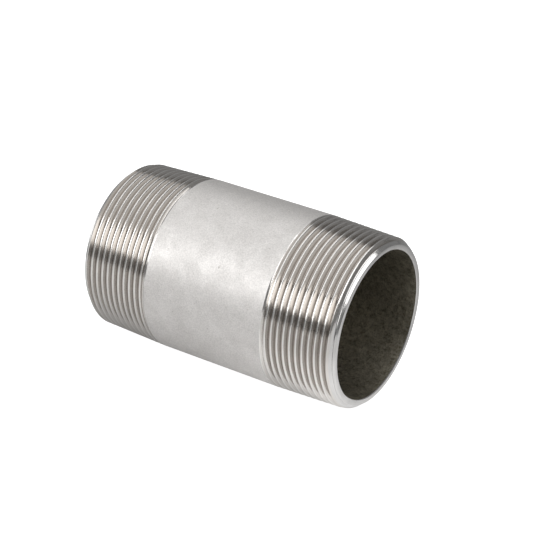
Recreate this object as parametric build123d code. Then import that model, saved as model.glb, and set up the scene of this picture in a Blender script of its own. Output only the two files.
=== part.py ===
from build123d import *
from math import atan, cos, degrees, radians, sin, tan
import os

# A stainless pipe nipple, R 2: one length of pipe with a taper thread cut on each end and a plain
# barrel between them. Millimetres. The pipe lies along X with its middle at the origin, and the bore
# runs right through.

# The pipe
length = 100.0
outside_diameter = 60.3
wall = 4.5
bore_edge_break = 0.3

# The thread: 11 to the inch, 55 degree form, taper 1 in 16 on the diameter, right hand
threads_per_inch = 11
gauge_drop = 0.686  # the crests at the gauge plane stand this much under the pipe's diameter
gauge_length = 15.9  # from the end face to the gauge plane
diameter_taper = 1 / 16
flank_angle = 27.5
depth_share = 0.640327  # depth of the form, as a share of the pitch
root_radius_share = 0.137329  # rounding at the root, as a share of the pitch
thread_end = 25.9  # from the end face to the last root, where the groove stops

# Where the groove starts: this much of a turn outside the end face, straight above the axis at the
# +X end, and turned on by this angle at the -X end
lead_in_turns = 0.383
far_start_angle = 178.0

# The ends
end_face_drop = 5.4  # the end face stands this much under the pipe's diameter
end_chamfer_length = 2.3

# The cutting shape stands this far above the crests
tool_height = 1.6

outside_radius = outside_diameter / 2
bore_radius = outside_radius - wall
pitch = 25.4 / threads_per_inch
depth = depth_share * pitch
root_radius = root_radius_share * pitch
radius_taper = diameter_taper / 2
end_face_radius = outside_radius - end_face_drop / 2
end_crest_radius = outside_radius - gauge_drop / 2 - gauge_length * radius_taper


def crest_radius(inward):
    """Radius over the crests at a distance inward from an end face."""
    return end_crest_radius + inward * radius_taper


def blank():
    """The pipe before threading: bored, coned towards both ends, chamfered and faced."""
    half = length / 2
    cone_length = (outside_radius - end_crest_radius) / radius_taper
    right_side = [
        (half - bore_edge_break, bore_radius),
        (half, bore_radius + bore_edge_break),
        (half, end_face_radius),
        (half - end_chamfer_length, crest_radius(end_chamfer_length)),
        (half - cone_length, outside_radius),
    ]
    left_side = [(-x, r) for x, r in reversed(right_side)]
    outline = make_face(Polyline(*right_side, *left_side, close=True))
    return revolve(outline, axis=Axis.X)


def groove_section(start):
    """The V between two crests, with a rounded root and upright sides above the crests."""
    lean = radians(flank_angle)
    crest = crest_radius(start)
    root = crest - depth
    tangent_radius = root + root_radius * (1 - sin(lean))
    tangent_half = root_radius * cos(lean)
    shoulder = crest + 0.1
    shoulder_half = tangent_half + (shoulder - tangent_radius) * tan(lean)
    top = crest + tool_height

    def point(radius, along):
        return Vector(radius, 0, start + along)

    corners = [
        point(tangent_radius, tangent_half),
        point(shoulder, shoulder_half),
        point(top, shoulder_half),
        point(top, -shoulder_half),
        point(shoulder, -shoulder_half),
        point(tangent_radius, -tangent_half),
    ]
    sides = [Edge.make_line(a, b) for a, b in zip(corners, corners[1:])]
    return Face(Wire([*sides, Edge.make_three_point_arc(corners[-1], point(root, 0), corners[0])]))


def groove():
    """The whole groove of one end: Z is the distance inward from the end face."""
    start = -lead_in_turns * pitch
    path = Helix(
        pitch,
        thread_end - start,
        crest_radius(start),
        center=(0, 0, start),
        cone_angle=degrees(atan(radius_taper)),
    )
    return Solid.sweep(groove_section(start), path, is_frenet=True)


def place_groove(start_angle, end_turn):
    """Lays the groove along an end: end_turn is 0 for the end at +X and 180 for the end at -X."""
    turned = groove().rotate(Axis.Z, start_angle).rotate(Axis.Y, -90)
    return turned.translate(Vector(length / 2, 0, 0)).rotate(Axis.Z, end_turn)


# The blank is turned half round, which keeps its seam clear of both grooves' starts
nipple = blank().rotate(Axis.X, 180)
nipple = nipple - place_groove(0, 0)
nipple = nipple - place_groove(far_start_angle, 180)

os.makedirs("parts", exist_ok=True)
export_step(nipple.solid(), "parts/nipple_body.step")
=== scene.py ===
import math
import bmesh
import bpy
import numpy as np
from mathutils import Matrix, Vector


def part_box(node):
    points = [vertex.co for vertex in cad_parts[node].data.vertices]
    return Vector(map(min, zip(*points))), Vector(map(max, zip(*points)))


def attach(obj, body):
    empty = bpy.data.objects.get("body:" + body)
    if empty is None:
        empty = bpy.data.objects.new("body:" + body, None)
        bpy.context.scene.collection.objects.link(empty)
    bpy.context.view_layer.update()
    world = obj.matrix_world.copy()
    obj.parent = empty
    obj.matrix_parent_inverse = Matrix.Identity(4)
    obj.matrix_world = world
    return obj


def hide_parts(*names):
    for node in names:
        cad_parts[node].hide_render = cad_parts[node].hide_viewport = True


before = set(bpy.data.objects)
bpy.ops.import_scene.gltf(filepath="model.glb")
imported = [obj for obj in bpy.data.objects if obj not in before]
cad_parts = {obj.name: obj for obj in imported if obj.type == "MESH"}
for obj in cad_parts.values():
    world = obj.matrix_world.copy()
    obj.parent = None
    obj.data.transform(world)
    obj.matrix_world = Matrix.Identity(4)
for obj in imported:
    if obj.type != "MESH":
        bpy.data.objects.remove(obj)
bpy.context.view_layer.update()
low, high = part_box("nipple_body")
print("stage 1: packed pipe loaded, metres", [round(v, 4) for v in high - low])

view = {
    "azimuth": 33.25,  # degrees from the front, towards the open end
    "elevation": 30.26,
    "distance": 0.5992,
    "lens": 118.4,
    "sensor": 36,
    "clip": (0.01, 20),
    "aimRight": 0.00572,  # the pipe sits a little left of and below the middle of the frame
    "aimUp": 0.00491,
}


def placeCamera():
    turn, rise = math.radians(view["azimuth"]), math.radians(view["elevation"])
    outward = Vector((math.sin(turn) * math.cos(rise), -math.cos(turn) * math.cos(rise), math.sin(rise)))
    right = Vector((math.cos(turn), math.sin(turn), 0))
    aim = (low + high) / 2 + right * view["aimRight"] + outward.cross(right) * view["aimUp"]
    lens = bpy.data.cameras.new("productCamera")
    lens.lens = view["lens"]
    lens.sensor_width = view["sensor"]
    lens.clip_start, lens.clip_end = view["clip"]
    camera = bpy.data.objects.new("productCamera", lens)
    camera.location = aim + outward * view["distance"]
    camera.rotation_mode = "QUATERNION"
    camera.rotation_quaternion = outward.to_track_quat("Z", "Y")
    bpy.context.scene.collection.objects.link(camera)
    bpy.context.scene.camera = camera


placeCamera()
print("stage 2: camera placed")

# The pipe, in metres. Each distance along an end is measured inward from that end's face.
pipe = {
    "length": high.x - low.x,
    "outside": 0.03015,
    "wall": 0.0045,
    "boreBreak": 0.0003,
    "breakRounding": (0.00003, 0.00002),  # along the pipe and across it
    "breakMargin": 0.0001,  # strip left flat on either side of the break
    "faceRadius": 0.02745,
    "chamferLength": 0.0023,
    "edgeRounding": 0.00012,
}

# The taper thread: 55 degree form, 11 to the inch, right hand
thread = {
    "pitch": 0.0254 / 11,
    "gaugeRadius": 0.029807,
    "gaugeLength": 0.0159,
    "taper": 1 / 32,  # on the radius
    "flankAngle": 27.5,
    "depthShare": 0.640327,
    "roundShare": 0.137329,  # rounding at the roots
    "crestRounding": 0.00007,  # the tool leaves a narrow land on each crest, with its corners just broken
    "length": 0.0269,
    "overrun": 0.0003,  # the thread's rows run on this far over the plain barrel
    "satinLap": 0.0001,  # and the satin finish begins this far before the thread ends
    "runOutTurns": 0.75,  # the last groove climbs out of the pipe over this much of a turn
    "nearLeadIn": 0.383,  # where round the pipe each groove starts, in turns
    "farLeadIn": 0.877,
}

meshSize = {
    "columns": 200,  # round the pipe
    "arcSteps": 5,  # round each root
    "cornerSteps": 3,  # round each crest's corners
    "barrelRows": 14,
    "boreRows": 18,
    "endMargin": 1e-7,  # rows nearer than this to either end of the thread have no face between them
    "weldDistance": 1e-6,
    "sharpAngle": 33,  # degrees; an edge that bends more than this shades sharp
}


def crestRadius(inward):
    return thread["gaugeRadius"] + (inward - thread["gaugeLength"]) * thread["taper"]


def chamferRadius(inward):
    rise = crestRadius(pipe["chamferLength"]) - pipe["faceRadius"]
    return pipe["faceRadius"] + inward * rise / pipe["chamferLength"]


def threadForm():
    # one pitch from a root's left side: distance from the root's middle, and height over the crests
    pitch = thread["pitch"]
    depth = thread["depthShare"] * pitch
    rounding = thread["roundShare"] * pitch
    swing = math.pi / 2 - math.radians(thread["flankAngle"])
    tilts = np.linspace(-swing, swing, meshSize["arcSteps"] + 1)
    root = np.stack([rounding * np.sin(tilts), rounding - depth - rounding * np.cos(tilts)], 1)
    flank = math.tan(math.radians(thread["flankAngle"]))
    land = pitch / 2 - root[-1, 0] + root[-1, 1] * flank  # half the land, before its corners are broken
    corner = thread["crestRounding"]
    inset = land - corner * math.tan(swing / 2)
    bend = np.linspace(0, swing, meshSize["cornerSteps"] + 1)
    right = np.stack([inset + corner * np.sin(bend), corner * np.cos(bend) - corner], 1)
    left = right[::-1] * [-1, 1]
    crest = np.concatenate([left, right]) + [pitch / 2, 0]
    rising = (root[-1] + crest[0]) / 2
    falling = (crest[-1] + root[0] + [pitch, 0]) / 2
    return np.concatenate([root, [rising], crest, [falling]])


def threadGrid(leadIn):
    # rows follow the helix, so the first column meets the last one pitch further on
    form = threadForm()
    pitch, columns = thread["pitch"], meshSize["columns"]
    turns = np.arange(-2, math.ceil(thread["length"] / pitch) + 3)
    share = np.arange(columns) / columns
    middle = (share[:, None] + turns[None, :] - leadIn) * pitch
    inward = (middle[:, :, None] + form[None, None, :, 0]).reshape(columns, -1)
    climb = (middle - thread["length"]) / (thread["runOutTurns"] * pitch) + 1
    lift = thread["depthShare"] * pitch * np.clip(climb, 0, 1)
    height = np.minimum(form[None, None, :, 1] + lift[:, :, None], 0).reshape(columns, -1)
    radius = np.minimum(crestRadius(inward) + height, pipe["outside"])
    marked = np.zeros(inward.shape, bool)
    gap = radius - chamferRadius(inward)
    for i in range(columns):  # move the nearest row onto each edge between chamfer and thread
        for q in np.nonzero(gap[i, :-1] * gap[i, 1:] < 0)[0]:
            part = gap[i, q] / (gap[i, q] - gap[i, q + 1])
            nearest = q if part < 0.5 else q + 1
            inward[i, nearest] = inward[i, q] + part * (inward[i, q + 1] - inward[i, q])
            radius[i, nearest] = chamferRadius(inward[i, nearest])
            marked[i, nearest] = True
    inward = np.clip(inward, pipe["edgeRounding"], thread["length"] + thread["overrun"])
    radius = np.where(inward > thread["length"], pipe["outside"], radius)
    radius = np.minimum(radius, chamferRadius(inward))
    return inward, radius, marked, len(form)


class Shell:
    # points, faces and the finish of each face, gathered before they become one mesh
    def __init__(self):
        self.points, self.faces, self.finishes = [], [], []

    def addRows(self, along, radius, side):
        # side is 1 for the near end and -1 for the far end, which is the near end turned half round
        columns = meshSize["columns"]
        turn = 2 * np.pi * np.arange(columns)[:, None] / columns
        place = np.stack([
            side * (pipe["length"] / 2 - along),
            side * radius * np.sin(turn),
            radius * np.cos(turn),
        ], 2)
        start = len(self.points)
        self.points.extend(place.reshape(-1, 3).tolist())
        return start + np.arange(columns * along.shape[1]).reshape(along.shape)

    def addFace(self, corners, finish):
        self.faces.append(corners)
        self.finishes.append(finish)


finishIndex = {"turned": 0, "satin": 1, "bore": 2}


def addThread(shell, leadIn, side):
    inward, radius, marked, rowsInPitch = threadGrid(leadIn)
    ids = shell.addRows(inward, radius, side)
    columns, rows = ids.shape
    start, end = inward.min() + meshSize["endMargin"], inward.max() - meshSize["endMargin"]
    satinStart = thread["length"] - thread["satinLap"]
    for i in range(columns):
        j = (i + 1) % columns
        shift = rowsInPitch if j == 0 else 0
        for q in range(rows - 1 - shift):
            w = q + shift
            beforeFace = inward[i, q + 1] < start and inward[j, w + 1] < start
            pastThread = inward[i, q] > end and inward[j, w] > end
            if beforeFace or pastThread:
                continue
            a, b, c, d = int(ids[i, q]), int(ids[i, q + 1]), int(ids[j, w + 1]), int(ids[j, w])
            finish = finishIndex["satin" if inward[i, q] > satinStart else "turned"]
            if marked[i, q] and marked[j, w + 1]:
                shell.addFace((a, b, c), finish)
                shell.addFace((a, c, d), finish)
            elif marked[i, q + 1] and marked[j, w]:
                shell.addFace((a, b, d), finish)
                shell.addFace((b, c, d), finish)
            else:
                shell.addFace((a, b, c, d), finish)


def addRings(shell, outline, side, finishes):
    # outline is a list of (distance inward, radius), turned round the axis
    columns = meshSize["columns"]
    along = np.repeat([[s for s, r in outline]], columns, 0)
    radius = np.repeat([[r for s, r in outline]], columns, 0)
    ids = shell.addRows(along, radius, side)
    for q in range(len(outline) - 1):
        for i in range(columns):
            j = (i + 1) % columns
            corners = (int(ids[i, q]), int(ids[i, q + 1]), int(ids[j, q + 1]), int(ids[j, q]))
            shell.addFace(corners, finishIndex[finishes[q]])


def endOutline():
    # from the chamfer over the end face and into the bore
    rounding, edge, margin = pipe["edgeRounding"], pipe["boreBreak"], pipe["breakMargin"]
    alongRound, acrossRound = pipe["breakRounding"]
    corner = chamferRadius(rounding)
    bore = pipe["outside"] - pipe["wall"]
    return [
        (rounding, corner),
        (rounding * 0.3, corner - rounding * 0.75),
        (0, corner - rounding * 1.6),
        (0, (corner + bore) / 2),
        (0, bore + edge + margin),
        (alongRound, bore + edge),
        (edge - alongRound, bore + acrossRound),
        (edge + margin, bore),
    ]


def buildNipple():
    shell = Shell()
    barrelStart = thread["length"] + thread["overrun"]
    barrel = np.linspace(barrelStart, pipe["length"] - barrelStart, meshSize["barrelRows"] + 1)
    addRings(shell, [(s, pipe["outside"]) for s in barrel], 1, ["satin"] * meshSize["barrelRows"])
    outline = endOutline()
    boreStart = outline[-1][0]
    bore = np.linspace(boreStart, pipe["length"] - boreStart, meshSize["boreRows"] + 1)
    addRings(shell, [(s, outline[-1][1]) for s in bore], 1, ["bore"] * meshSize["boreRows"])
    for side, leadIn in ((1, thread["nearLeadIn"]), (-1, thread["farLeadIn"])):
        addThread(shell, leadIn, side)
        addRings(shell, outline, side, ["turned"] * (len(outline) - 1))
    mesh = bpy.data.meshes.new("pipeNipple")
    mesh.from_pydata(shell.points, [], shell.faces)
    mesh.polygons.foreach_set("material_index", shell.finishes)
    solid = bmesh.new()
    solid.from_mesh(mesh)
    bmesh.ops.remove_doubles(solid, verts=solid.verts, dist=meshSize["weldDistance"])
    bmesh.ops.dissolve_degenerate(solid, edges=solid.edges, dist=meshSize["weldDistance"])
    bmesh.ops.recalc_face_normals(solid, faces=solid.faces)
    sharpAngle = math.radians(meshSize["sharpAngle"])
    openEdges = 0
    for face in solid.faces:
        face.smooth = True
    for edge in solid.edges:
        if len(edge.link_faces) != 2:
            openEdges += 1
        elif edge.calc_face_angle(0) > sharpAngle:
            edge.smooth = False
    solid.to_mesh(mesh)
    solid.free()
    nipple = bpy.data.objects.new("pipeNipple", mesh)
    bpy.context.scene.collection.objects.link(nipple)
    print("stage 3: pipe built,", len(mesh.polygons), "faces,", openEdges, "open edges")
    return nipple


nipple = buildNipple()


def putNode(tree, kind, inputs=None, **settings):
    made = tree.nodes.new(kind)
    for name, value in settings.items():
        setattr(made, name, value)
    for name, value in (inputs or {}).items():
        socket = made.inputs[name]
        if isinstance(value, bpy.types.NodeSocket):
            tree.links.new(value, socket)
        else:
            socket.default_value = value
    return made


def calculate(tree, operation, *values, **settings):
    made = putNode(tree, "ShaderNodeMath", dict(enumerate(values)), operation=operation, **settings)
    return made.outputs[0]


def noise(tree, place, scale, detail, roughness=0.5, distortion=0.0):
    return putNode(tree, "ShaderNodeTexNoise", {
        "Vector": place, "Scale": scale, "Detail": detail, "Roughness": roughness, "Distortion": distortion,
    }).outputs["Fac"]


def spread(tree, value, fromMin, fromMax, toMin=0.0, toMax=1.0):
    return putNode(tree, "ShaderNodeMapRange", {
        "Value": value, "From Min": fromMin, "From Max": fromMax, "To Min": toMin, "To Max": toMax,
    }).outputs["Result"]


def mix(tree, share, first, second):
    return putNode(tree, "ShaderNodeMix", {0: share, 2: first, 3: second}).outputs[0]


def blend(tree, share, first, second):
    return putNode(tree, "ShaderNodeMix", {0: share, 6: first, 7: second}, data_type="RGBA").outputs[2]


def tint(tree, colour, filtering):
    return putNode(tree, "ShaderNodeMix", {
        0: 1.0, 6: colour, 7: filtering}, data_type="RGBA", blend_type="MULTIPLY").outputs[2]


def stretch(tree, place, along, around):
    # squeezes or stretches a texture's place along the pipe and round it
    scale = putNode(tree, "ShaderNodeCombineXYZ", {"X": along, "Y": around, "Z": around})
    return putNode(tree, "ShaderNodeVectorMath", {
        0: place, 1: scale.outputs[0]}, operation="MULTIPLY").outputs[0]


def bump(tree, height, strength, distance, normal=None):
    inputs = {"Height": height, "Strength": strength, "Distance": distance}
    if normal is not None:
        inputs["Normal"] = normal
    return putNode(tree, "ShaderNodeBump", inputs).outputs["Normal"]


def newGroup(name, inputs, outputs):
    group = bpy.data.node_groups.new(name, "ShaderNodeTree")
    for label, kind, value in inputs:
        socket = group.interface.new_socket(name=label, in_out="INPUT", socket_type=kind)
        if value is not None:
            socket.default_value = value
    for label, kind in outputs:
        group.interface.new_socket(name=label, in_out="OUTPUT", socket_type=kind)
    return group, group.nodes.new("NodeGroupInput"), group.nodes.new("NodeGroupOutput")


def blastedGrain():
    # fine pitted grain of pickled steel, with slow cloudy patches and a few dark specks
    group, taken, given = newGroup(
        "blastedGrain",
        [("Vector", "NodeSocketVector", None), ("Grain Size", "NodeSocketFloat", 0.0004),
         ("Patch Size", "NodeSocketFloat", 0.006), ("Speck Share", "NodeSocketFloat", 0.2)],
        [("Height", "NodeSocketFloat"), ("Patches", "NodeSocketFloat"), ("Specks", "NodeSocketFloat")],
    )
    place, grainSize = taken.outputs["Vector"], taken.outputs["Grain Size"]
    grainScale = calculate(group, "DIVIDE", 1.0, grainSize)
    patchScale = calculate(group, "DIVIDE", 1.0, taken.outputs["Patch Size"])
    speckScale = calculate(group, "DIVIDE", 0.22, grainSize)
    specks = noise(group, place, speckScale, detail=2.0, roughness=0.7)
    threshold = spread(group, taken.outputs["Speck Share"], 0.0, 1.0, 0.8, 0.5)
    above = calculate(group, "SUBTRACT", specks, threshold)
    steep = calculate(group, "MULTIPLY", above, 18.0, use_clamp=True)
    height = noise(group, place, grainScale, detail=3.0, roughness=0.62)
    patches = noise(group, place, patchScale, detail=3.0, roughness=0.6, distortion=0.6)
    group.links.new(height, given.inputs["Height"])
    group.links.new(patches, given.inputs["Patches"])
    group.links.new(steep, given.inputs["Specks"])
    return group


def turningLines():
    # marks that a lathe leaves round the axis: noise squeezed along the pipe and stretched round it
    group, taken, given = newGroup(
        "turningLines",
        [("Vector", "NodeSocketVector", None), ("Line Spacing", "NodeSocketFloat", 0.00015)],
        [("Lines", "NodeSocketFloat"), ("Chatter", "NodeSocketFloat")],
    )
    place = taken.outputs["Vector"]
    along = calculate(group, "DIVIDE", 1.0, taken.outputs["Line Spacing"])
    around = calculate(group, "MULTIPLY", along, 0.02)
    lines = noise(group, stretch(group, place, along, around), 1.0, detail=2.0)
    chatter = noise(group, place, calculate(group, "MULTIPLY", along, 0.12), detail=3.0)
    group.links.new(lines, given.inputs["Lines"])
    group.links.new(chatter, given.inputs["Chatter"])
    return group


def fineScratches():
    # thin scuffs in one direction, kept to scattered patches
    group, taken, given = newGroup(
        "fineScratches",
        [("Vector", "NodeSocketVector", None), ("Angle", "NodeSocketFloat", 0.5),
         ("Width", "NodeSocketFloat", 0.00025), ("Amount", "NodeSocketFloat", 0.5)],
        [("Mask", "NodeSocketFloat")],
    )
    place = taken.outputs["Vector"]
    leaning = putNode(group, "ShaderNodeVectorRotate", {
        "Vector": place, "Angle": taken.outputs["Angle"]}, rotation_type="AXIS_ANGLE").outputs[0]
    fine = calculate(group, "DIVIDE", 1.0, taken.outputs["Width"])
    drawnOut = calculate(group, "MULTIPLY", fine, 0.035)
    strokes = noise(group, stretch(group, leaning, fine, drawnOut), 1.0, detail=1.0)
    thin = spread(group, strokes, 0.68, 0.74)
    patchy = spread(group, noise(group, place, 140.0, detail=1.0), 0.5, 0.62)
    mask = calculate(group, "MULTIPLY", calculate(group, "MULTIPLY", thin, patchy), taken.outputs["Amount"])
    group.links.new(mask, given.inputs["Mask"])
    return group


grainGroup, linesGroup, scratchGroup = blastedGrain(), turningLines(), fineScratches()


def newMaterial(name, shaderValues):
    material = bpy.data.materials.new(name)
    material.use_nodes = True
    tree = material.node_tree
    tree.nodes.clear()
    shader = putNode(tree, "ShaderNodeBsdfPrincipled", shaderValues)
    putNode(tree, "ShaderNodeOutputMaterial", {"Surface": shader.outputs["BSDF"]})
    place = putNode(tree, "ShaderNodeTexCoord").outputs["Object"]
    return material, tree, shader, place


def placeGroup(tree, group, inputs):
    return putNode(tree, "ShaderNodeGroup", inputs, node_tree=group).outputs


def placeGrain(tree, place, look):
    return placeGroup(tree, grainGroup, {
        "Vector": place, "Grain Size": look["grain"], "Patch Size": look["patch"],
        "Speck Share": look["specks"]})


satin = {
    "light": (0.790, 0.770, 0.752, 1),
    "dark": (0.725, 0.706, 0.688, 1),
    "speck": (0.34, 0.31, 0.28, 1),
    "hollow": (0.75, 0.75, 0.75, 1),  # tint of the grain's low spots, where the high ones keep their colour
    "raised": (1.0, 1.0, 1.0, 1),
    "grain": 0.00045,
    "patch": 0.007,
    "specks": 0.28,
    "roughness": (0.50, 0.57),
    "bumpDepth": 0.00003,
    "scratch": {"Angle": 0.7, "Width": 0.00035, "Amount": 0.6},
    "scratchDepth": 0.00001,
}


def satinSteel():
    material, tree, shader, place = newMaterial("satinPickledSteel", {"Metallic": 1.0})
    grain = placeGrain(tree, place, satin)
    scratches = placeGroup(tree, scratchGroup, {"Vector": place, **satin["scratch"]})
    cloud = spread(tree, grain["Patches"], 0.36, 0.66)
    colour = blend(tree, cloud, satin["dark"], satin["light"])
    raised = spread(tree, grain["Height"], 0.3, 0.7)
    grained = tint(tree, colour, blend(tree, raised, satin["hollow"], satin["raised"]))
    tree.links.new(blend(tree, grain["Specks"], grained, satin["speck"]), shader.inputs["Base Color"])
    smooth, coarse = satin["roughness"]
    tree.links.new(spread(tree, grain["Patches"], 0.3, 0.7, coarse, smooth), shader.inputs["Roughness"])
    grainNormal = bump(tree, grain["Height"], 1.0, satin["bumpDepth"])
    normal = bump(tree, scratches["Mask"], 0.5, satin["scratchDepth"], grainNormal)
    tree.links.new(normal, shader.inputs["Normal"])
    return material


turned = {
    # crest colour is lighter: painted highlight along the crests
    "crest": (0.76, 0.745, 0.725, 1),
    "flank": (0.63, 0.605, 0.578, 1),
    # root colour is darker: painted shade in the thread roots
    "root": (0.36, 0.325, 0.295, 1),
    "face": (0.62, 0.61, 0.60, 1),  # chamfer and end ring
    "crestHighlightEdge": (0.00006, 0.00022),  # depths below the crests between which the crest's painted highlight fades
    # depth below the crests where the painted root shade begins
    "rootShadeStart": 0.0007,
    "faceShare": 0.75,  # of the chamfer's length that has the face's colour
    "faceFade": 0.0002,
    "streakDark": 0.84,
    "roughness": (0.11, 0.18),
    "lineSpacing": 0.00012,
    "lineDepth": 0.000008,
    "grain": 0.0005,
    "patch": 0.004,
    "specks": 0.1,
    "grainDepth": 0.000003,
}


def turnedSteel():
    material, tree, shader, place = newMaterial("turnedThreadSteel", {"Metallic": 1.0})
    lines = placeGroup(tree, linesGroup, {"Vector": place, "Line Spacing": turned["lineSpacing"]})
    grain = placeGrain(tree, place, turned)
    # how far the surface lies below the crests, from the place itself; the colour runs from a painted
    # highlight on the crests to painted shade in the roots
    half = pipe["length"] / 2
    apart = putNode(tree, "ShaderNodeSeparateXYZ", {"Vector": place}).outputs
    fromMiddle = calculate(tree, "ABSOLUTE", apart["X"])
    crests = spread(tree, fromMiddle, half - thread["length"], half,
                    crestRadius(thread["length"]), crestRadius(0))
    flat = putNode(tree, "ShaderNodeCombineXYZ", {"Y": apart["Y"], "Z": apart["Z"]}).outputs[0]
    radius = putNode(tree, "ShaderNodeVectorMath", {0: flat}, operation="LENGTH").outputs["Value"]
    below = calculate(tree, "SUBTRACT", crests, radius)
    offCrest = spread(tree, below, *turned["crestHighlightEdge"])
    nearRoot = spread(tree, below, turned["rootShadeStart"], thread["depthShare"] * thread["pitch"])
    outer = blend(tree, offCrest, turned["crest"], turned["flank"])
    threadColour = blend(tree, nearRoot, outer, turned["root"])
    faceStart = half - pipe["chamferLength"] * turned["faceShare"]
    atEnd = spread(tree, fromMiddle, faceStart, faceStart + turned["faceFade"])
    colour = blend(tree, atEnd, threadColour, turned["face"])
    streak = spread(tree, lines["Lines"], 0.3, 0.7, turned["streakDark"], 1.0)
    grey = putNode(tree, "ShaderNodeCombineColor", {0: streak, 1: streak, 2: streak}).outputs[0]
    tree.links.new(tint(tree, colour, grey), shader.inputs["Base Color"])
    rough = spread(tree, lines["Chatter"], 0.3, 0.7, *turned["roughness"])
    tree.links.new(rough, shader.inputs["Roughness"])
    lineNormal = bump(tree, lines["Lines"], 0.6, turned["lineDepth"])
    normal = bump(tree, grain["Height"], 0.12, turned["grainDepth"], lineNormal)
    tree.links.new(normal, shader.inputs["Normal"])
    return material


bore = {
    "light": (0.43, 0.4, 0.33, 1),
    "dark": (0.16, 0.145, 0.11, 1),
    "speck": (0.15, 0.135, 0.105, 1),
    "grain": 0.0006,
    "patch": 0.002,
    "specks": 0.3,
    "roughness": 0.46,
    "bumpDepth": 0.00007,
}


def boreSteel():
    material, tree, shader, place = newMaterial("roughBoreSteel", {
        "Metallic": 1.0, "Roughness": bore["roughness"]})
    grain = placeGrain(tree, place, bore)
    coarse = calculate(tree, "ADD", grain["Patches"], grain["Height"])
    cloud = spread(tree, coarse, 0.75, 1.25)
    colour = blend(tree, cloud, bore["dark"], bore["light"])
    tree.links.new(blend(tree, grain["Specks"], colour, bore["speck"]), shader.inputs["Base Color"])
    tree.links.new(bump(tree, grain["Height"], 0.9, bore["bumpDepth"]), shader.inputs["Normal"])
    return material


for finish in (turnedSteel(), satinSteel(), boreSteel()):
    nipple.data.materials.append(finish)
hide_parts("nipple_body")
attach(nipple, "root")
print("stage 4: finishes set")

studio = {
    "roomGrey": {"front": 0.26, "back": 0.27, "seen": 1.05},  # the walls, for the metal and for the camera
    "floorReach": 3,
    # the floor that the camera sees is evenly white; the one that the metal sees has a painted pool of
    # light, glowing brightest before the open end, and painted shade, so that it falls off behind the pipe
    "floorColour": {"lit": 0.72, "paintedShadeBehind": 0.24, "seen": 0.3, "depth": (0.02, 0.16)},
    "floorPaintedGlow": {"lit": 0.42, "seen": 1.02, "place": (0.060, -0.028), "reach": (0.005, 0.07)},
    "overhead": {"place": (-0.1, 0.2, 1.15), "size": (1.9, 2.3), "aim": (-0.1, 0.2, 0), "radiance": 0.96},
    "side": {"place": (0.98, 0.08, 1.02), "size": (2.1, 0.8), "aim": (0, 0, 0), "radiance": 2.2},
    "key": {"place": (-0.75, -1.05, 0.71), "size": (1.4, 0.70), "aim": (0, 0, 0), "radiance": 2.6},
}


def softbox(name, place, size, aim, radiance):
    lamp = bpy.data.lights.new(name, "AREA")
    lamp.shape = "RECTANGLE"
    lamp.size, lamp.size_y = size
    lamp.energy = radiance * math.pi * size[0] * size[1]
    box = bpy.data.objects.new(name, lamp)
    box.location = place
    outward = Vector(place) - Vector(aim)
    box.rotation_mode = "QUATERNION"
    box.rotation_quaternion = outward.to_track_quat("Z", "Y")
    bpy.context.scene.collection.objects.link(box)


def lightStudio():
    world = bpy.data.worlds.new("studio")
    bpy.context.scene.world = world
    world.use_nodes = True
    tree = world.node_tree
    tree.nodes.clear()
    room = studio["roomGrey"]
    seen = putNode(tree, "ShaderNodeLightPath").outputs["Is Camera Ray"]
    facing = putNode(tree, "ShaderNodeTexCoord").outputs["Generated"]
    depth = putNode(tree, "ShaderNodeSeparateXYZ", {"Vector": facing}).outputs["Y"]
    grey = spread(tree, depth, -0.6, 0.6, room["front"], room["back"])
    glow = putNode(tree, "ShaderNodeBackground", {
        "Color": (1, 1, 1, 1), "Strength": mix(tree, seen, grey, room["seen"])})
    putNode(tree, "ShaderNodeOutputWorld", {"Surface": glow.outputs[0]})
    for name in ("overhead", "side", "key"):
        softbox(name + "Softbox", **studio[name])
    bpy.context.scene.view_settings.view_transform = "Standard"


def layFloor():
    mesh = bpy.data.meshes.new("studioFloor")
    reach = studio["floorReach"]
    corners = [(-reach, -reach), (reach, -reach), (reach, reach), (-reach, reach)]
    mesh.from_pydata([(x, y, low.z) for x, y in corners], [], [(0, 1, 2, 3)])
    floor = bpy.data.objects.new("studioFloor", mesh)
    bpy.context.scene.collection.objects.link(floor)
    material, tree, shader, place = newMaterial("paleFloor", {
        "Roughness": 0.9, "Specular IOR Level": 0.0, "Emission Color": (1, 1, 1, 1)})
    colour, light = studio["floorColour"], studio["floorPaintedGlow"]
    seen = putNode(tree, "ShaderNodeLightPath").outputs["Is Camera Ray"]
    depth = putNode(tree, "ShaderNodeSeparateXYZ", {"Vector": place}).outputs["Y"]
    # painted shade: for the metal, the floor's base colour drops behind the pipe
    lit = spread(tree, depth, *colour["depth"], colour["lit"], colour["paintedShadeBehind"])
    tree.links.new(mix(tree, seen, lit, colour["seen"]), shader.inputs["Base Color"])
    brightest = (*light["place"], low.z)
    away = putNode(tree, "ShaderNodeVectorMath", {
        0: place, 1: brightest}, operation="DISTANCE").outputs["Value"]
    # painted pool of light: for the metal, the floor glows brightest at a spot before the open end and
    # fades with distance
    glow = spread(tree, away, *light["reach"], light["lit"], 0.0)
    tree.links.new(mix(tree, seen, glow, light["seen"]), shader.inputs["Emission Strength"])
    mesh.materials.append(material)


lightStudio()
layFloor()
print("stage 5: lights and floor set")
